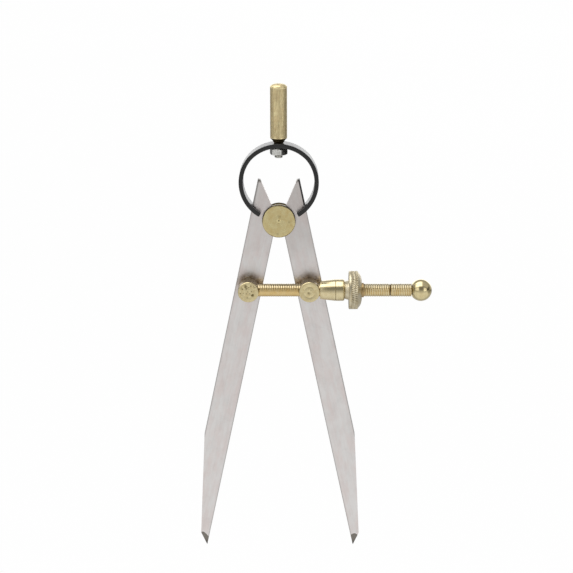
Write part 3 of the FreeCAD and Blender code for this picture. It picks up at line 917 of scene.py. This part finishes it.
def make_ball():
    """The ball on the spindle's end, open where the spindle enters it."""
    low, high = corners("end_ball")
    radius = (high.z - low.z) / 2
    centre = high.x - radius
    opening = math.asin((SPINDLE_RADIUS + 0.03) / radius)
    inside = centre - radius * math.cos(opening) + 0.4
    steps = 40
    outline = [(inside, 0), (inside, SPINDLE_RADIUS - 0.3)]
    for step in range(steps):
        turn = opening + (math.pi - opening) * step / steps
        outline.append((centre - radius * math.cos(turn), radius * math.sin(turn)))
    outline.append((centre + radius, 0))
    metal = brass("ball_brass", tint(216, 202, 158), tint(198, 178, 130), SPINDLE_AXIS, "X",
                  marks_scale=1.6, smooth=0.1, rough=0.17, depth=0.004, stain=0.56)
    bm = turned(outline, 80, "X", SPINDLE_AXIS)
    obj = new_object("end_ball_polished", bm, [metal])
    placed(obj, "left_post", "polished_brass", "end_ball")


def make_sleeve():
    """The tapered thrust sleeve, with a spigot inside its ring."""
    low, high = corners("nut_sleeve")
    bore = SPINDLE_RADIUS + BORE_GAP
    joint = corners("sleeve_ring")[0].x
    spigot = RING_CAVITY - 0.02
    outline = rounded([
        (low.x, bore), (low.x, SLEEVE_SMALL, 0.15), (joint - 0.1, SLEEVE_LARGE, 0.08),
        (joint - 0.02, SLEEVE_LARGE - 0.2), (joint - 0.02, spigot), (high.x, spigot),
        (high.x, bore)])
    bm = turned(outline, 96, "X", SPINDLE_AXIS, closed=True)
    obj = new_object("nut_sleeve_turned", bm, [sleeve_brass("sleeve_brass")], sharp=SHARP_TURN)
    placed(obj, "thrust_sleeve", "polished_brass", "nut_sleeve")


def make_ring():
    """The ring pressed on the sleeve, with a lip that holds the nut's collar."""
    low, high = corners("sleeve_ring")
    outer = (high.z - low.z) / 2
    cavity = RING_CAVITY + 0.01
    lip_start = high.x - 0.9
    outline = rounded([
        (low.x + 0.02, cavity), (low.x + 0.02, outer - 0.2), (low.x + 0.1, outer, 0.06),
        (high.x - 0.5, outer, 0.3), (high.x, outer - 0.5, 0.15), (high.x, LIP_RADIUS),
        (lip_start, LIP_RADIUS), (lip_start, cavity)])
    bm = turned(outline, 96, "X", SPINDLE_AXIS, closed=True)
    obj = new_object("sleeve_ring_turned", bm, [sleeve_brass("ring_brass")], sharp=SHARP_TURN)
    placed(obj, "thrust_sleeve", "polished_brass", "sleeve_ring")


def make_nut():
    """The adjusting nut: a collar and a neck, a knurled flange with a domed end, and a hub.
    Places along it are measured along X, like its box."""
    low, high = corners("adjusting_nut")
    bore = SPINDLE_RADIUS + BORE_GAP
    flange = (high.z - low.z) / 2
    collar, neck, hub = 3.95, 3.45, 3.25
    collar_end, neck_end, flange_start = 28, 29.25, 31
    dome_start, dome_end, dome_outer, dome_inner = 35.0, 36.75, 8.15, 4.5
    teeth, depth = 58, 0.3
    bands = ((32.2, 33.45), (33.65, 34.9))
    rows = [place for band in bands for place in stepped(*band, 0.156)]

    def knurl(along, angle):
        """Two rows of slightly slanted teeth, the second half a tooth on from the first."""
        for i, (near, far) in enumerate(bands):
            if near + 0.01 < along < far - 0.01:
                slant = 0.35 * (along - near) / (far - near)
                return depth * groove(teeth * angle / TAU + slant + 0.5 * i)
        return 0

    rim = flange - 0.02
    before = rounded([
        (low.x, bore), (low.x, collar), (collar_end, collar), (collar_end, neck),
        (neck_end, neck), (neck_end, 3.9, 0.06), (flange_start, 4.42, 0.05),
        (flange_start, flange - 0.25, 0.2), (flange_start + 0.25, flange, 0.2),
        (32.05, flange, 0.05), (32.15, flange - 0.1)], 2)
    dome = [(dome_start - 0.03, rim - 0.2)]
    steps = 10
    for step in range(steps + 1):
        share = step / steps
        bulge = math.sin(math.pi * share) * 0.42
        dome.append((dome_start + (dome_end - dome_start) * share + bulge * 0.8,
                     dome_outer - (dome_outer - dome_inner) * share + bulge * 0.4))
    after = rounded([(dome_end, dome_inner - 0.1), (dome_end + 0.03, hub), (37.5, hub, 0.12),
                     (high.x, hub - 0.13, 0.08), (high.x, bore)], 2)
    outline = before + [(x, rim) for x in rows] + dome + after

    def worn(tree, colour, radius, along):
        """Old dirt between the teeth, and a browner hub."""
        toothed = calc(tree, "MULTIPLY", span(tree, along, bands[0][0] - 0.05, bands[0][0]),
                       span(tree, along, bands[1][1], bands[1][1] + 0.05, 1.0, 0.0))
        root = calc(tree, "MULTIPLY", toothed, span(tree, radius, rim - 0.2, rim - 0.08, 0.8, 0.0))
        colour = blended(tree, root, colour, tint(150, 138, 110))
        return blended(tree, span(tree, along, 36.4, 36.8, 0.0, 0.8), colour, tint(160, 130, 78))

    metal = brass("nut_brass", tint(216, 207, 182), tint(202, 188, 154), SPINDLE_AXIS, "X",
                  marks_scale=0.9, smooth=0.34, rough=0.44, depth=0.004, stain=0.5,
                  extra=worn)
    bm = turned(outline, teeth * 8, "X", SPINDLE_AXIS, relief=knurl, closed=True)
    obj = new_object("adjusting_nut_knurled", bm, [metal], sharp=50)
    placed(obj, "adjusting_nut", "knurled_brass", "adjusting_nut")


bow_black = black_steel("bow_black_oxide")
make_leg("right_leg", 1, age_and_edge_shade=0.95)
make_leg("left_leg", -1, age_and_edge_shade=0.35)
make_spool()
make_bow(1, "right_leg", bow_black)
make_bow(-1, "left_leg", bow_black)
make_grip()
make_stud()
make_hex_nut()
make_post("right_post", through=True)
make_post("left_post", through=False)
make_washer("right_post_washer", "right_post")
make_washer("left_post_washer", "left_post")
make_spindle()
make_ball()
make_sleeve()
make_ring()
make_nut()


# ---------------------------------------------------------------- stage, light and camera

def make_floor():
    """A white floor that glows evenly, so that nothing casts a shadow on it."""
    def build(tree):
        faint = cloudy(tree, add(tree, "TexCoord").outputs["Object"], 0.6, 2, 0.5)
        return {"Emission Color": ramp(tree, faint, (0.3, 0.99), (0.7, 1.0))}
    material = finished("floor_white", build, Metallic=0.0, Roughness=1.0,
                        Emission_Strength=1.0, Base_Color=(0, 0, 0, 1), Specular_IOR_Level=0.0)
    half_side = 30000
    bm = bmesh.new()
    bmesh.ops.create_grid(bm, x_segments=24, y_segments=24, size=half_side)
    floor = new_object("floor", bm, [material])
    floor.visible_glossy = False


def make_world():
    """Studio light as a dome. Its ramp goes by the angle about X: 0 is the front, 90 the top,
    180 the back and -90 below. Panels add to it: one overhead and one on each side at the
    front. Its far sides, its sides at the back and a patch low at the back are darker."""
    world = bpy.data.worlds.new("studio")
    bpy.context.scene.world = world
    world.use_nodes = True
    tree = world.node_tree
    tree.nodes.clear()
    x, y, z = parts_of(tree, add(tree, "TexCoord").outputs["Generated"])
    turn = calc(tree, "ARCTAN2", z, calc(tree, "MULTIPLY", y, -1.0))
    share = calc(tree, "ADD", calc(tree, "DIVIDE", turn, TAU), 0.5)
    degrees = calc(tree, "MULTIPLY", turn, 360 / TAU)

    def within(value, low, high, edge):
        """1 between two limits and 0 outside, with soft edges."""
        return calc(tree, "MULTIPLY", span(tree, value, low - edge, low + edge),
                    span(tree, value, high - edge, high + edge, 1.0, 0.0))

    stops = [(-180, 0.9), (-172, 0.6), (-165, 0.28), (-105, 0.30), (-92, 0.42), (-40, 0.48),
             (-24, 0.46), (-16, 0.42), (-9, 0.33), (4, 0.29), (16, 0.14), (50, 0.13),
             (62, 0.30), (108, 0.30), (120, 0.24), (152, 0.22), (166, 0.9), (180, 0.9)]
    light = ramp(tree, share, *[((a + 180) / 360, value) for a, value in stops])
    panels = (((55, 116, 6), (-0.8, 0.16, 0.12), 0.9),
              ((8, 48, 8), (-0.93, -0.42, 0.12), 0.5),
              ((2, 42, 8), (0.44, 0.84, 0.08), 0.5))
    for turns, sides, extra in panels:
        panel = calc(tree, "MULTIPLY", within(degrees, *turns), within(x, *sides))
        light = calc(tree, "ADD", light, calc(tree, "MULTIPLY", panel, extra))
    # The far sides, darker above the horizon than below it
    flank = calc(tree, "MAXIMUM", span(tree, x, 0.86, 0.97, 0.0, 0.76),
                 span(tree, x, -0.97, -0.86, 0.6, 0.0))
    flank = calc(tree, "MULTIPLY", flank, span(tree, degrees, -12, 6, 0.7, 1.0))
    # The sides at the back
    behind = calc(tree, "MAXIMUM", span(tree, degrees, 146, 160),
                  span(tree, degrees, -160, -146, 1.0, 0.0))
    beside = calc(tree, "MAXIMUM", span(tree, x, 0.4, 0.7, 0.0, 0.65),
                  span(tree, x, -0.85, -0.6, 0.5, 0.0))
    flank = calc(tree, "MAXIMUM", flank, calc(tree, "MULTIPLY", behind, beside))
    # The patch low at the back, on the left
    facet = calc(tree, "MULTIPLY", within(x, -0.8, -0.3, 0.06), within(degrees, -180, -150, 4))
    darkness = calc(tree, "MAXIMUM", flank, calc(tree, "MULTIPLY", facet, 0.8))
    light = calc(tree, "MULTIPLY", light, calc(tree, "SUBTRACT", 1.0, darkness))
    back = add(tree, "Background", {"Color": light, "Strength": STUDIO_STRENGTH})
    add(tree, "OutputWorld", {"Surface": back.outputs["Background"]})


def make_camera():
    """The camera, at a distance from the point it aims at."""
    data = bpy.data.cameras.new("camera")
    data.lens = FOCAL_LENGTH
    data.sensor_width = SENSOR_WIDTH
    data.clip_start = 0.01
    camera = bpy.data.objects.new("camera", data)
    bpy.context.scene.collection.objects.link(camera)
    turn, rise = math.radians(AZIMUTH), math.radians(ELEVATION)
    back = Vector((math.sin(turn) * math.cos(rise), -math.cos(turn) * math.cos(rise),
                   math.sin(rise)))
    camera.location = (AIM + back * DISTANCE) * MM
    level = (-back).to_track_quat("-Z", "Y").to_matrix()
    camera.rotation_euler = (level @ Matrix.Rotation(math.radians(ROLL), 3, "Z")).to_euler()
    bpy.context.scene.camera = camera


make_floor()
make_world()
make_camera()
bpy.context.scene.view_settings.view_transform = "Standard"
